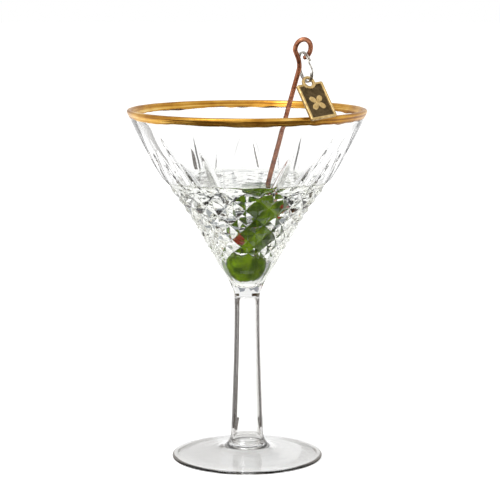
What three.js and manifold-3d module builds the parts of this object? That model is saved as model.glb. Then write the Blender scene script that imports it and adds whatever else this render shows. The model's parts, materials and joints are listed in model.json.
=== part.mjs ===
// Martini glass with a cut bowl, a gilded lip, a hollow stem, a clear drink and a garnish:
// three stuffed olives on a copper wire pick that carries a brass charm on a split ring.
// Millimetres, +Z up, origin at the centre of the foot's underside, -Y is the front.
import * as THREE from 'three';
import { mergeVertices } from 'three/addons/utils/BufferGeometryUtils.js';
import Module from 'manifold-3d';

const wasm = await Module();
wasm.setup();

// ---------------------------------------------------------------- driving dimensions
const GAP = 0.3;                    // clearance kept between touching pieces
const ROUND_STEPS = 48;             // facets round the large glass pieces
const SMALL_STEPS = 20;             // facets round the olives

const HEIGHT = 170;                 // floor to the top of the gilded lip
const RIM_RADIUS = 57.5;            // outside of the gilding
const GILD_SKIN = 0.45;             // thickness of the gilding
const GILD_DROP_OUTSIDE = 4.3;      // how far the gilding runs down the outside
const GILD_DROP_INSIDE = 3.3;       // and down the inside

const LIP_RADIUS = RIM_RADIUS - GILD_SKIN - GAP;
const LIP_HEIGHT = HEIGHT - GILD_SKIN - GAP;
const LIP_WALL = 2;                 // horizontal wall at the lip
const LIP_ROUNDING = 0.7;
const UPPER_WALL_HEIGHT = 160.5;    // from here up the plain wall steepens a little
const UPPER_WALL_RADIUS = 53.2;
const SHOULDER_HEIGHT = 137;        // top of the cut band, where the wall is thickest
const SHOULDER_RADIUS = 41;
const CUT_BAND_HEIGHT = 109.4;      // waist of the cut band
const CUT_BAND_RADIUS = 22.2;
const BOWL_BOTTOM = 79.5;           // underside of the solid glass below the bowl
const BOWL_BOTTOM_RADIUS = 6.3;
const BOWL_INNER_BOTTOM = 84.5;
const INNER_TIP_RADIUS = 7;         // rounding at the bottom of the inside
const INNER_CONE_SLOPE = 0.603;     // radius gained per unit of height, inside
const INNER_CONE_HEIGHT = 95.8;     // a point low on the inner cone
const INNER_CONE_RADIUS = 10.8;

const DRINK_LEVEL = 136.5;
const DRINK_FLOOR = 100;

const STEM_TOP_RADIUS = 6.2;
const STEM_MIDDLE_RADIUS = 6.4;
const STEM_MIDDLE_HEIGHT = 58;
const STEM_FLARE_RADIUS = 7.2;      // halfway from the middle down to the foot
const STEM_BASE_RADIUS = 7.9;
const STEM_WALL = 1.5;

const FOOT_RADIUS = 36.4;
const FOOT_EDGE = 1.8;              // height of the foot at its edge
const FOOT_EDGE_ROUNDING = 0.6;
const FOOT_BOSS_RADIUS = 8.6;
const FOOT_BOSS_HEIGHT = 9;

// The pick leans towards the front and right; distances along it start at PICK_ORIGIN.
const PICK_ORIGIN = new THREE.Vector3(0.35, -1.2, 100);
const PICK_LEAN = THREE.MathUtils.degToRad(26.6);
const PICK_HEADING = THREE.MathUtils.degToRad(30.8);
const WIRE_RADIUS = 1.1;
const TIP_LENGTH = 4;
const PICK_TIP = -9.6;              // along the pick
const SHAFT_TOP = 100.4;            // where the shaft begins to bend into the loop
const LOOP_CENTRE = 112.2;          // along the pick
const LOOP_SHIFT = -0.8;            // sideways
const LOOP_HALF_WIDTH = 3.4;        // to the centre of the wire
const LOOP_HALF_HEIGHT = 4.6;
const LOOP_START = 205;             // degrees, where the shaft runs into the loop
const LOOP_END = -70;               // degrees, the cut end of the wire
const LOOP_END_FORWARD = 0.9;       // how far the cut end stands in front of the loop

// The lowest olive is pierced from end to end, the others from side to side.
const OLIVE_RADIUS = 8.1;
const LOWEST_OLIVE = -3.9;          // centre, along the pick
const OLIVES = [
  { place: 'lower', along: LOWEST_OLIVE, halfLength: 8.8, openEnd: new THREE.Vector3(0, 0, -1) },
  { place: 'middle', along: 13.4, halfLength: 10.2, openEnd: new THREE.Vector3(-0.8, -0.6, 0) },
  { place: 'upper', along: 30.1, halfLength: 10.2, openEnd: new THREE.Vector3(0.9, -0.44, 0) },
];
const BORE_RADIUS = WIRE_RADIUS + GAP;
const PIT_RADIUS = 3.2;
const PIT_DEPTH_PAST_CENTRE = 4;
const PIMENTO_RADIUS = PIT_RADIUS - GAP;
const PIMENTO_PROUD = 0.2;          // how far the pimento stands out of the olive
const PIMENTO_CROWN = 0.8;          // width of the slope round its outer end
const CHANNEL_RADIUS = 11.2;        // room kept in the drink for the olives, however they are turned

const RING_RADIUS = 6.9;            // to the centre of the wire
const RING_WIRE_RADIUS = 0.38;
const RING_PITCH = 0.86;            // from one coil to the other
const RING_SEAT = new THREE.Vector3(0.3, 1.05, -2.4);   // top of the ring, from the loop's centre
const RING_HANG = new THREE.Vector3(0.2, 0, -1).normalize();
const RING_FACE = new THREE.Vector3(0.37, -0.93, 0);

const CHARM_WIDTH = 13.9;
const CHARM_LENGTH = 18;
const CHARM_THICKNESS = 1.8;
const CHARM_FIELD_DEPTH = 0.7;      // how far the field lies below the border
const CHARM_BORDER = 1.1;
const EYE_OUTER_RADIUS = 3.2;
const EYE_HOLE_RADIUS = 2;
const EYE_RISE = 0.6;               // centre of the eye above the plate's top edge
const EYE_BELOW_RING = 0.35;        // centre of the eye below the ring's wire
const CHARM_ACROSS = new THREE.Vector3(11.6, 7.6, 1.5).normalize();
const CHARM_DOWN = new THREE.Vector3(6.7, -7.4, -15.1);
const MOTIF_RADIUS = 3.6;
const MOTIF_HEIGHT = 0.5;

// ---------------------------------------------------------------- helpers
const root = new THREE.Group();

function finish(color, roughness, metalness = 0, opacity = 1) {
  return new THREE.MeshStandardMaterial({ color, roughness, metalness, opacity, transparent: opacity < 1 });
}

function addMesh(parent, name, geometry, material) {
  const mesh = new THREE.Mesh(geometry, material);
  mesh.name = name;
  parent.add(mesh);
  return mesh;
}

// A solid of revolution about Z from [radius, height] pairs, outside upwards, inside downwards.
function turned(pairs, steps = ROUND_STEPS) {
  const profile = pairs.map(([radius, height]) => new THREE.Vector2(radius, height));
  return new THREE.LatheGeometry(profile, steps).rotateX(Math.PI / 2);
}

function toManifold(geometry) {
  const bare = geometry.clone();
  bare.deleteAttribute('normal');
  bare.deleteAttribute('uv');
  const merged = mergeVertices(bare, 1e-4);
  const index = merged.index.array;
  const kept = [];
  for (let i = 0; i < index.length; i += 3) {
    const [a, b, c] = [index[i], index[i + 1], index[i + 2]];
    if (a !== b && b !== c && c !== a) {
      kept.push(a, b, c);
    }
  }
  return new wasm.Manifold(new wasm.Mesh({
    numProp: 3,
    vertProperties: new Float32Array(merged.attributes.position.array),
    triVerts: new Uint32Array(kept),
  }));
}

function fromManifold(solid) {
  const mesh = solid.getMesh();
  const geometry = new THREE.BufferGeometry();
  geometry.setAttribute('position', new THREE.BufferAttribute(new Float32Array(mesh.vertProperties), 3));
  geometry.setIndex(new THREE.BufferAttribute(new Uint32Array(mesh.triVerts), 1));
  geometry.computeVertexNormals();
  return geometry;
}

// A round wire along a curve.
function wire(curve, radius, steps, sides) {
  const section = new THREE.Shape();
  section.absarc(0, 0, radius, 0, 2 * Math.PI);
  return new THREE.ExtrudeGeometry(section, { steps, extrudePath: curve, curveSegments: sides / 2 });
}

// ---------------------------------------------------------------- glass
const innerTipCentre = BOWL_INNER_BOTTOM + INNER_TIP_RADIUS;
const coneAngle = Math.atan(INNER_CONE_SLOPE);

// The inside of the bowl, from its bottom up: a rounded tip, a cone, then a slightly fuller wall.
function bowlInside(shrink = 0) {
  const points = [];
  const tipSteps = 5;
  for (let i = 0; i <= tipSteps; i++) {
    const turn = (i / tipSteps) * (Math.PI / 2 - coneAngle);
    const radius = (INNER_TIP_RADIUS - shrink) * Math.sin(turn);
    points.push([radius, innerTipCentre - (INNER_TIP_RADIUS - shrink) * Math.cos(turn)]);
  }
  const wall = [
    [INNER_CONE_RADIUS, INNER_CONE_HEIGHT],
    [18.9, CUT_BAND_HEIGHT],
    [25.9, 120.5],
    [32.4, 130],
    [37.4, SHOULDER_HEIGHT],
    [42.2, 144.7],
    [50.8, UPPER_WALL_HEIGHT],
    [LIP_RADIUS - LIP_WALL, LIP_HEIGHT - LIP_ROUNDING],
  ];
  const sideways = shrink / Math.cos(coneAngle);
  wall.forEach(([radius, height]) => points.push([radius - sideways, height]));
  return points;
}

function bowlGeometry() {
  const outside = [
    [0, BOWL_BOTTOM],
    [BOWL_BOTTOM_RADIUS, BOWL_BOTTOM],
    [7.7, 84.3],
    [10.6, 90],
    [14.4, 95.8],
    [CUT_BAND_RADIUS, CUT_BAND_HEIGHT],
    [28.9, 120.5],
    [35.9, 130],
    [SHOULDER_RADIUS, SHOULDER_HEIGHT],
    [45.4, 144.7],
    [UPPER_WALL_RADIUS, UPPER_WALL_HEIGHT],
    [LIP_RADIUS, LIP_HEIGHT - LIP_ROUNDING],
    [LIP_RADIUS - LIP_WALL / 2, LIP_HEIGHT],
  ];
  return turned([...outside, ...bowlInside().reverse()]);
}

// The radius of an upward outline at a height between its ends.
function radiusAt(outline, height) {
  const above = outline.findIndex(([, z]) => z >= height);
  const [lowRadius, lowHeight] = outline[above - 1];
  const [highRadius, highHeight] = outline[above];
  return lowRadius + ((highRadius - lowRadius) * (height - lowHeight)) / (highHeight - lowHeight);
}

// The drink's solid leaves a straight channel along the pick, so the garnish can be lifted out.
function drinkGeometry() {
  const inside = bowlInside(GAP);
  const fill = turned([
    [0, DRINK_FLOOR],
    [radiusAt(inside, DRINK_FLOOR), DRINK_FLOOR],
    ...inside.filter(([, height]) => height > DRINK_FLOOR && height < DRINK_LEVEL),
    [radiusAt(inside, DRINK_LEVEL), DRINK_LEVEL],
    [0, DRINK_LEVEL],
  ]);
  const channelLength = 70;
  const channel = new THREE.CapsuleGeometry(CHANNEL_RADIUS, channelLength, 5, 24).rotateX(Math.PI / 2);
  channel.translate(0, 0, LOWEST_OLIVE + channelLength / 2);
  channel.applyMatrix4(pickGroup.matrix);
  return fromManifold(toManifold(fill).subtract(toManifold(channel)));
}

// A thin gold skin folded over the lip.
function gildingGeometry() {
  const wallSlope = (LIP_RADIUS - UPPER_WALL_RADIUS) / (LIP_HEIGHT - LIP_ROUNDING - UPPER_WALL_HEIGHT);
  const outerBottom = HEIGHT - GILD_DROP_OUTSIDE;
  const innerBottom = HEIGHT - GILD_DROP_INSIDE;
  const shoulder = HEIGHT - 1.1;       // where the skin turns over the lip
  const outerFoot = RIM_RADIUS - (shoulder - outerBottom) * wallSlope;
  const innerRadius = LIP_RADIUS - LIP_WALL - GAP - GILD_SKIN;
  const innerFoot = innerRadius - (shoulder - innerBottom) * wallSlope;
  return turned([
    [outerFoot, outerBottom],
    [RIM_RADIUS, shoulder],
    [LIP_RADIUS - 0.2, HEIGHT],
    [LIP_RADIUS - LIP_WALL + 0.2, HEIGHT],
    [innerRadius, shoulder],
    [innerFoot, innerBottom],
    [innerFoot + GILD_SKIN, innerBottom],
    [innerRadius + GILD_SKIN, shoulder - 0.1],
    [LIP_RADIUS - LIP_WALL + 0.4, HEIGHT - GILD_SKIN],
    [LIP_RADIUS - 0.4, HEIGHT - GILD_SKIN],
    [RIM_RADIUS - GILD_SKIN, shoulder - 0.1],
    [outerFoot - GILD_SKIN, outerBottom],
    [outerFoot, outerBottom],
  ]);
}

function stemGeometry() {
  const top = BOWL_BOTTOM - GAP;
  const bottom = FOOT_BOSS_HEIGHT + GAP;
  const outside = [
    [STEM_BASE_RADIUS, bottom],
    [STEM_FLARE_RADIUS, (bottom + STEM_MIDDLE_HEIGHT) / 2],
    [STEM_MIDDLE_RADIUS, STEM_MIDDLE_HEIGHT],
    [STEM_TOP_RADIUS, top],
  ];
  const inside = outside.map(([radius, height]) => [radius - STEM_WALL, height]).reverse();
  return turned([...outside, ...inside, outside[0]]);
}

function footGeometry() {
  const points = [
    [0, 0],
    [FOOT_RADIUS - FOOT_EDGE_ROUNDING, 0],
    [FOOT_RADIUS, FOOT_EDGE_ROUNDING],
    [FOOT_RADIUS, FOOT_EDGE - FOOT_EDGE_ROUNDING],
    [FOOT_RADIUS - FOOT_EDGE_ROUNDING, FOOT_EDGE],
  ];
  // The top sweeps up in one hollow curve from the edge to the boss under the stem.
  const sweep = new THREE.CubicBezierCurve(
    new THREE.Vector2(FOOT_RADIUS - 1.5, FOOT_EDGE + 0.05),
    new THREE.Vector2(22, 3.4),
    new THREE.Vector2(10.5, 4.6),
    new THREE.Vector2(FOOT_BOSS_RADIUS, FOOT_BOSS_HEIGHT),
  );
  sweep.getPoints(8).forEach((p) => points.push([p.x, p.y]));
  points.push([0, FOOT_BOSS_HEIGHT]);
  return turned(points);
}

// ---------------------------------------------------------------- pick and olives
const pickAxis = new THREE.Vector3(
  Math.sin(PICK_LEAN) * Math.sin(PICK_HEADING),
  -Math.sin(PICK_LEAN) * Math.cos(PICK_HEADING),
  Math.cos(PICK_LEAN),
);
const pickSide = new THREE.Vector3(1, 0, 0).addScaledVector(pickAxis, -pickAxis.x).normalize();
const pickBack = new THREE.Vector3().crossVectors(pickAxis, pickSide);

// Inside this group Z runs up the pick, X to the right in the plane of the loop, Y to the back.
const pickGroup = new THREE.Group();
pickGroup.quaternion.setFromRotationMatrix(new THREE.Matrix4().makeBasis(pickSide, pickBack, pickAxis));
pickGroup.position.copy(PICK_ORIGIN);
pickGroup.updateMatrix();
root.add(pickGroup);

function pickGeometry() {
  const shaftEnd = SHAFT_TOP + 1;
  const shaft = turned([
    [0, PICK_TIP],
    [WIRE_RADIUS * 0.6, PICK_TIP + TIP_LENGTH * 0.45],
    [WIRE_RADIUS, PICK_TIP + TIP_LENGTH],
    [WIRE_RADIUS, shaftEnd],
    [0, shaftEnd],
  ], 12);
  // The wire eases sideways out of the shaft, then runs round the loop to its cut end.
  const bend = [
    new THREE.Vector3(0, 0, SHAFT_TOP),
    new THREE.Vector3(-0.15, 0, SHAFT_TOP + 2.5),
    new THREE.Vector3(-1.4, 0, SHAFT_TOP + 6),
  ];
  const loopSteps = 12;
  for (let i = 0; i <= loopSteps; i++) {
    const share = i / loopSteps;
    const turn = THREE.MathUtils.degToRad(LOOP_START + (LOOP_END - LOOP_START) * share);
    bend.push(new THREE.Vector3(
      LOOP_SHIFT + LOOP_HALF_WIDTH * Math.cos(turn),
      -LOOP_END_FORWARD * share * share,
      LOOP_CENTRE + LOOP_HALF_HEIGHT * Math.sin(turn),
    ));
  }
  const loop = wire(new THREE.CatmullRomCurve3(bend), WIRE_RADIUS, 40, 12);
  return fromManifold(toManifold(shaft).add(toManifold(loop)));
}

// Round the skin of an olive from its closed end to the mouth of its pit.
function skinOutline(halfLength) {
  const end = Math.acos(PIT_RADIUS / OLIVE_RADIUS);
  const steps = 13;
  const points = [[0, -halfLength]];
  for (let i = 1; i <= steps; i++) {
    const angle = -Math.PI / 2 + ((end + Math.PI / 2) * i) / steps;
    points.push([OLIVE_RADIUS * Math.cos(angle), halfLength * Math.sin(angle)]);
  }
  return points;
}

// An olive's long axis is Z, and its pit opens at the top.
function oliveSolid(halfLength) {
  return toManifold(turned([
    ...skinOutline(halfLength),
    [PIT_RADIUS, -PIT_DEPTH_PAST_CENTRE],
    [0, -PIT_DEPTH_PAST_CENTRE],
  ], SMALL_STEPS));
}

function pimentoSolid(halfLength) {
  const bottom = -PIT_DEPTH_PAST_CENTRE + GAP;
  const top = halfLength + PIMENTO_PROUD;
  return toManifold(turned([
    [0, bottom],
    [PIMENTO_RADIUS, bottom],
    [PIMENTO_RADIUS, top - PIMENTO_CROWN],
    [PIMENTO_RADIUS - PIMENTO_CROWN, top],
    [0, top],
  ], SMALL_STEPS));
}

// The hole that the pick has made, as it lies in an olive's own frame.
function pickHole(oliveGroup) {
  const start = PICK_TIP - GAP;
  const length = SHAFT_TOP - start;
  const hole = new THREE.CylinderGeometry(BORE_RADIUS, BORE_RADIUS, length, 12).rotateX(Math.PI / 2);
  hole.translate(0, 0, start + length / 2);
  hole.applyMatrix4(oliveGroup.matrix.clone().invert());
  return toManifold(hole);
}

function addOlives() {
  OLIVES.forEach(({ place, along, halfLength, openEnd }) => {
    const group = new THREE.Group();
    group.position.set(0, 0, along);
    group.quaternion.setFromUnitVectors(new THREE.Vector3(0, 0, 1), openEnd.clone().normalize());
    group.updateMatrix();
    pickGroup.add(group);
    const hole = pickHole(group);
    const olive = fromManifold(oliveSolid(halfLength).subtract(hole));
    const pimento = fromManifold(pimentoSolid(halfLength).subtract(hole));
    addMesh(group, `olive_${place}`, olive, finish(0x5a7d1e, 0.3));
    addMesh(group, `pimento_${place}`, pimento, finish(0xa83a20, 0.4));
  });
}

// ---------------------------------------------------------------- split ring and charm
const ringFace = RING_FACE.clone().addScaledVector(RING_HANG, -RING_FACE.dot(RING_HANG)).normalize();
const ringAxis = new THREE.Vector3().crossVectors(ringFace, RING_HANG);
const ringTop = new THREE.Vector3(LOOP_SHIFT, 0, LOOP_CENTRE).add(RING_SEAT).applyMatrix4(pickGroup.matrix);
const ringCentre = ringTop.clone().addScaledVector(RING_HANG, RING_RADIUS);
const ringBottom = ringTop.clone().addScaledVector(RING_HANG, 2 * RING_RADIUS);

// Two flat coils side by side, joined by one short crossing.
class SplitRingCurve extends THREE.Curve {
  getPoint(t, target = new THREE.Vector3()) {
    const clear = THREE.MathUtils.degToRad(22);
    const crossing = THREE.MathUtils.degToRad(18);
    const turn = clear + t * (4 * Math.PI - 2 * clear);
    const share = THREE.MathUtils.clamp((turn - 2 * Math.PI) / crossing, -1, 1);
    const aside = (RING_PITCH / 2) * Math.sin((share * Math.PI) / 2);
    return target.copy(ringCentre)
      .addScaledVector(ringFace, RING_RADIUS * Math.cos(turn))
      .addScaledVector(RING_HANG, RING_RADIUS * Math.sin(turn))
      .addScaledVector(ringAxis, aside);
  }
}

const charmDown = CHARM_DOWN.clone().addScaledVector(CHARM_ACROSS, -CHARM_DOWN.dot(CHARM_ACROSS)).normalize();
const charmFront = new THREE.Vector3().crossVectors(charmDown, CHARM_ACROSS).normalize();
const charmUp = charmDown.clone().negate();

// Inside this group the eye's centre is the origin, X runs across the plate, Y up it, Z out of its front.
const charmGroup = new THREE.Group();
charmGroup.quaternion.setFromRotationMatrix(new THREE.Matrix4().makeBasis(CHARM_ACROSS, charmUp, charmFront));
charmGroup.position.copy(ringBottom).addScaledVector(charmDown, EYE_BELOW_RING);
root.add(charmGroup);

function plateOutline(inset) {
  const half = CHARM_WIDTH / 2 - inset;
  const top = -EYE_RISE - inset;
  const bottom = -EYE_RISE - CHARM_LENGTH + inset;
  const shape = new THREE.Shape();
  shape.moveTo(-half, bottom);
  shape.lineTo(half, bottom);
  shape.lineTo(half, top);
  shape.lineTo(-half, top);
  shape.closePath();
  return shape;
}

function slab(shape, depth, from) {
  return toManifold(new THREE.ExtrudeGeometry(shape, { depth, bevelEnabled: false, curveSegments: 20 })
    .translate(0, 0, from));
}

function disc(radius) {
  const shape = new THREE.Shape();
  shape.absarc(0, 0, radius, 0, 2 * Math.PI);
  return shape;
}

// A plain four-petalled flower.
function motifShape() {
  const shape = new THREE.Shape();
  const steps = 40;
  for (let i = 0; i < steps; i++) {
    const turn = (i / steps) * 2 * Math.PI;
    const reach = MOTIF_RADIUS * (0.62 + 0.38 * Math.cos(4 * turn));
    const x = reach * Math.cos(turn);
    const y = -EYE_RISE - CHARM_LENGTH * 0.55 + reach * Math.sin(turn);
    if (i === 0) {
      shape.moveTo(x, y);
    } else {
      shape.lineTo(x, y);
    }
  }
  shape.closePath();
  return shape;
}

function charmGeometry() {
  const back = -CHARM_THICKNESS / 2;
  const fieldLevel = CHARM_THICKNESS / 2 - CHARM_FIELD_DEPTH;
  const plate = slab(plateOutline(0), CHARM_THICKNESS, back);
  const recess = slab(plateOutline(CHARM_BORDER), CHARM_FIELD_DEPTH + 1, fieldLevel);
  const eye = slab(disc(EYE_OUTER_RADIUS), CHARM_THICKNESS, back);
  const hole = slab(disc(EYE_HOLE_RADIUS), CHARM_THICKNESS + 2, back - 1);
  const motif = slab(motifShape(), MOTIF_HEIGHT + 0.2, fieldLevel - 0.2);
  return fromManifold(plate.subtract(recess).add(eye).add(motif).subtract(hole));
}

// ---------------------------------------------------------------- assembly
const glass = finish(0xf2f5f4, 0.03, 0, 0.35);
addMesh(root, 'bowl', bowlGeometry(), glass.clone());
addMesh(root, 'stem', stemGeometry(), glass.clone());
addMesh(root, 'foot', footGeometry(), glass.clone());
addMesh(root, 'gold_rim_band', gildingGeometry(), finish(0xc98f2c, 0.28, 1));
addMesh(root, 'drink', drinkGeometry(), finish(0xf4f7f2, 0.02, 0, 0.3));
addMesh(pickGroup, 'cocktail_pick', pickGeometry(), finish(0x9a5236, 0.35, 1));
addOlives();
addMesh(root, 'split_ring', wire(new SplitRingCurve(), RING_WIRE_RADIUS, 72, 8), finish(0x8f8a80, 0.3, 1));
addMesh(charmGroup, 'charm', charmGeometry(), finish(0x8a6d3c, 0.45, 1));

export default root;
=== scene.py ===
"""Martini glass with a cut bowl, a gilded lip, a clear drink, an olive garnish on a copper pick and a charm.

Metres, +Z up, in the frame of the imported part. Sizes below are in millimetres and are scaled by MM.
"""

import json
import math

import bmesh
import bpy
import numpy as np
from mathutils import Matrix, Vector, noise


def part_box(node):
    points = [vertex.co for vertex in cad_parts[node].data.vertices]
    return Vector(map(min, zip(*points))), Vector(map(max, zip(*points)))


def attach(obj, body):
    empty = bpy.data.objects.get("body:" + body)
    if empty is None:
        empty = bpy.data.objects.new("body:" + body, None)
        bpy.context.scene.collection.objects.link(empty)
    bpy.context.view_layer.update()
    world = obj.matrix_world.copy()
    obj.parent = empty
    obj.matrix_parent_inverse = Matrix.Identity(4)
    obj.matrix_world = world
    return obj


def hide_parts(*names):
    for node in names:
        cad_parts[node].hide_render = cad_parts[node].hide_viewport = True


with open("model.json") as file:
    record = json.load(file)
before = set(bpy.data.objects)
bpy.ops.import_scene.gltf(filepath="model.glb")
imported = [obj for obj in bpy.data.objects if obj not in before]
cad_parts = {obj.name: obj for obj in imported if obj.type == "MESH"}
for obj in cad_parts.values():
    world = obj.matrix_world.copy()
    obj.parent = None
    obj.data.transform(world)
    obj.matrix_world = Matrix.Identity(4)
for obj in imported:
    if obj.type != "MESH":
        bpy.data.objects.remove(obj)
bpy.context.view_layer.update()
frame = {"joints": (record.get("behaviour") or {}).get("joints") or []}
MM = 0.001

# ------------------------------------------------------------------ sizes taken from the frame


def low_mm(node):
    return np.array(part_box(node)[0]) / MM


def high_mm(node):
    return np.array(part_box(node)[1]) / MM


def joint(name):
    return next(j for j in frame["joints"] if j["name"] == name)


RIM_TOP = high_mm("gold_rim_band")[2]
RIM_RADIUS = high_mm("gold_rim_band")[0]
GILD_BOTTOM = low_mm("gold_rim_band")[2]
BOWL_BOTTOM = low_mm("bowl")[2]
DRINK_LEVEL = high_mm("drink")[2]
FOOT_RADIUS = high_mm("foot")[0]
FOOT_TOP = high_mm("foot")[2]
STEM_TOP = high_mm("stem")[2]
STEM_BASE_RADIUS = high_mm("stem")[0]

PICK_AXIS = Vector(joint("pick_lift")["axis"]).normalized()
OLIVES = {                      # body, joint, half its length, where its open end points in the pick's frame
    "lower": ("olive_low", "olive_low_turn", 8.8, (0, 0, -1)),
    "middle": ("olive_mid", "olive_mid_turn", 10.2, (-0.8, -0.6, 0)),
    "upper": ("olive_top", "olive_top_turn", 10.2, (0.9, -0.44, 0)),
}

# ------------------------------------------------------------------ helpers


def curve_through(points, at):
    """A smooth curve y(x) through the given points, read at the given places."""
    x, y = np.array(points, float).T
    slope = np.gradient(y, x)
    i = np.clip(np.searchsorted(x, at) - 1, 0, len(x) - 2)
    width = x[i + 1] - x[i]
    t = np.clip((at - x[i]) / width, 0, 1)
    start = (2 * t**3 - 3 * t**2 + 1) * y[i] + (t**3 - 2 * t**2 + t) * width * slope[i]
    end = (3 * t**2 - 2 * t**3) * y[i + 1] + (t**3 - t**2) * width * slope[i + 1]
    return start + end


def smooth_step(low, high, at):
    t = np.clip((at - low) / (high - low), 0, 1)
    return t * t * (3 - 2 * t)


def add_object(name, verts, faces, material, sharp_deg=None):
    """A mesh object from coordinates in millimetres."""
    mesh = bpy.data.meshes.new(name)
    mesh.from_pydata([tuple(v) for v in np.asarray(verts, float) * MM], [], [tuple(f) for f in faces])
    mesh.validate()
    mesh.polygons.foreach_set("use_smooth", [True] * len(mesh.polygons))
    if sharp_deg is not None:
        mesh.set_sharp_from_angle(angle=math.radians(sharp_deg))
    mesh.materials.append(material)
    piece = bpy.data.objects.new(name, mesh)
    bpy.context.scene.collection.objects.link(piece)
    return piece


def place(piece, body, slot, *nodes):
    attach(piece, body)
    if nodes:
        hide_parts(*nodes)


def ring_faces(rows, count, closed=False):
    """Quads between rows of `count` points, each row a closed ring; closed joins the last row to the first."""
    faces = []
    for i in range(rows if closed else rows - 1):
        below, above = i * count, ((i + 1) % rows) * count
        for j in range(count):
            k = (j + 1) % count
            faces.append((below + j, below + k, above + k, above + j))
    return faces


def revolve(radii, heights, count):
    """Verts and faces of a solid of revolution, whose outline starts and ends on the axis."""
    turn = np.arange(count) * 2 * math.pi / count
    inner_r, inner_z = np.asarray(radii)[1:-1], np.asarray(heights)[1:-1]
    rings = np.stack([
        inner_r[:, None] * np.cos(turn), inner_r[:, None] * np.sin(turn), np.repeat(inner_z[:, None], count, 1)
    ], axis=2).reshape(-1, 3)
    return cap_rings(rings, len(inner_r), count, (0, 0, heights[0]), (0, 0, heights[-1]))


def cap_rings(rings, rows, count, first_pole, last_pole):
    faces = ring_faces(rows, count)
    start, end = len(rings), len(rings) + 1
    last = (rows - 1) * count
    for j in range(count):
        k = (j + 1) % count
        faces.append((start, k, j))
        faces.append((end, last + j, last + k))
    return np.vstack([rings, [first_pole, last_pole]]), faces


# ------------------------------------------------------------------ materials


class Nodes:
    """A short way to write a node tree."""

    def __init__(self, name):
        self.material = bpy.data.materials.new(name)
        self.material.use_nodes = True
        self.tree = self.material.node_tree
        self.tree.nodes.clear()
        self.shader = self.add("ShaderNodeBsdfPrincipled")
        output = self.add("ShaderNodeOutputMaterial")
        self.link(self.shader.outputs["BSDF"], output.inputs["Surface"])
        self.coords = self.add("ShaderNodeTexCoord").outputs["Object"]

    def add(self, kind, **settings):
        node = self.tree.nodes.new(kind)
        for key, value in settings.items():
            setattr(node, key, value)
        return node

    def link(self, start, end):
        self.tree.links.new(start, end)

    def set(self, **values):
        for key, value in values.items():
            self.shader.inputs[key.replace("_", " ")].default_value = value

    def feed(self, socket, source):
        self.link(source, self.shader.inputs[socket])

    def stretched(self, scale):
        mapping = self.add("ShaderNodeMapping")
        mapping.inputs["Scale"].default_value = scale
        self.link(self.coords, mapping.inputs["Vector"])
        return mapping.outputs["Vector"]

    def noise(self, scale, detail=4.0, roughness=0.55, vector=None, distortion=0.0):
        node = self.add("ShaderNodeTexNoise")
        node.inputs["Scale"].default_value = scale
        node.inputs["Detail"].default_value = detail
        node.inputs["Roughness"].default_value = roughness
        node.inputs["Distortion"].default_value = distortion
        self.link(vector or self.coords, node.inputs["Vector"])
        return node.outputs["Fac"]

    def ramp(self, source, *stops):
        """Colours or greys at places along 0..1."""
        node = self.add("ShaderNodeValToRGB")
        elements = node.color_ramp.elements
        while len(elements) < len(stops):
            elements.new(0.5)
        for element, (where, value) in zip(elements, stops):
            element.position = where
            element.color = (value, value, value, 1) if isinstance(value, float) else (*value, 1)
        self.link(source, node.inputs["Fac"])
        return node.outputs["Color"]

    def mix(self, factor, first, second, blend="MIX"):
        node = self.add("ShaderNodeMix", data_type="RGBA", blend_type=blend)
        for socket, value in ((node.inputs[0], factor), (node.inputs[6], first), (node.inputs[7], second)):
            if isinstance(value, (int, float)):
                socket.default_value = value
            elif isinstance(value, tuple):
                socket.default_value = (*value, 1)
            else:
                self.link(value, socket)
        return node.outputs[2]

    def bump(self, height, distance, strength=1.0):
        node = self.add("ShaderNodeBump")
        node.inputs["Distance"].default_value = distance
        node.inputs["Strength"].default_value = strength
        self.link(height, node.inputs["Height"])
        self.feed("Normal", node.outputs["Normal"])


GLASS_IOR = 1.52
DRINK_IOR = 1.345


def clear_material(name, ior, tint, ripple):
    m = Nodes(name)
    m.set(Base_Color=(*tint, 1), Roughness=0.0, IOR=ior, Transmission_Weight=1.0)
    m.bump(m.noise(60.0, 2.0), ripple)
    return m.material


def cut_glass_material():
    return clear_material("cut_glass", GLASS_IOR, (0.945, 0.948, 0.943), 0.00004)


def drawn_glass_material():
    return clear_material("drawn_glass", GLASS_IOR, (0.975, 0.974, 0.965), 0.00005)


def stem_glass_material():
    """Drawn glass, greyer where its wall turns edge-on: partly the longer path, mostly painted shade for the edge
    lines.
    """
    m = Nodes("stem_glass")
    m.set(Roughness=0.0, IOR=GLASS_IOR, Transmission_Weight=1.0)
    edge_on_painted_shade = m.add("ShaderNodeLayerWeight").outputs["Facing"]
    # painted shade: edge-on the tint goes far darker than clear glass would, to draw the stem's dark edge lines
    m.feed("Base Color", m.ramp(edge_on_painted_shade, (0.30, (0.975, 0.974, 0.965)), (0.46, (0.46, 0.445, 0.43)),
                                (0.85, (0.24, 0.225, 0.21))))
    m.bump(m.noise(60.0, 2.0), 0.00005)
    return m.material


def wetted_glass_material():
    """The inside of the wall below the drink, where light goes from glass straight into liquid."""
    return clear_material("wetted_glass", GLASS_IOR / DRINK_IOR, (0.97, 0.975, 0.965), 0.00004)


def drink_material():
    return clear_material("drink", DRINK_IOR, (0.985, 0.985, 0.97), 0.00006)


def drink_side_material():
    """The liquid's side bends no light of its own: the wetted wall does it."""
    return clear_material("drink_side", 1.0, (0.95, 0.955, 0.93), 0.00001)


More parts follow.
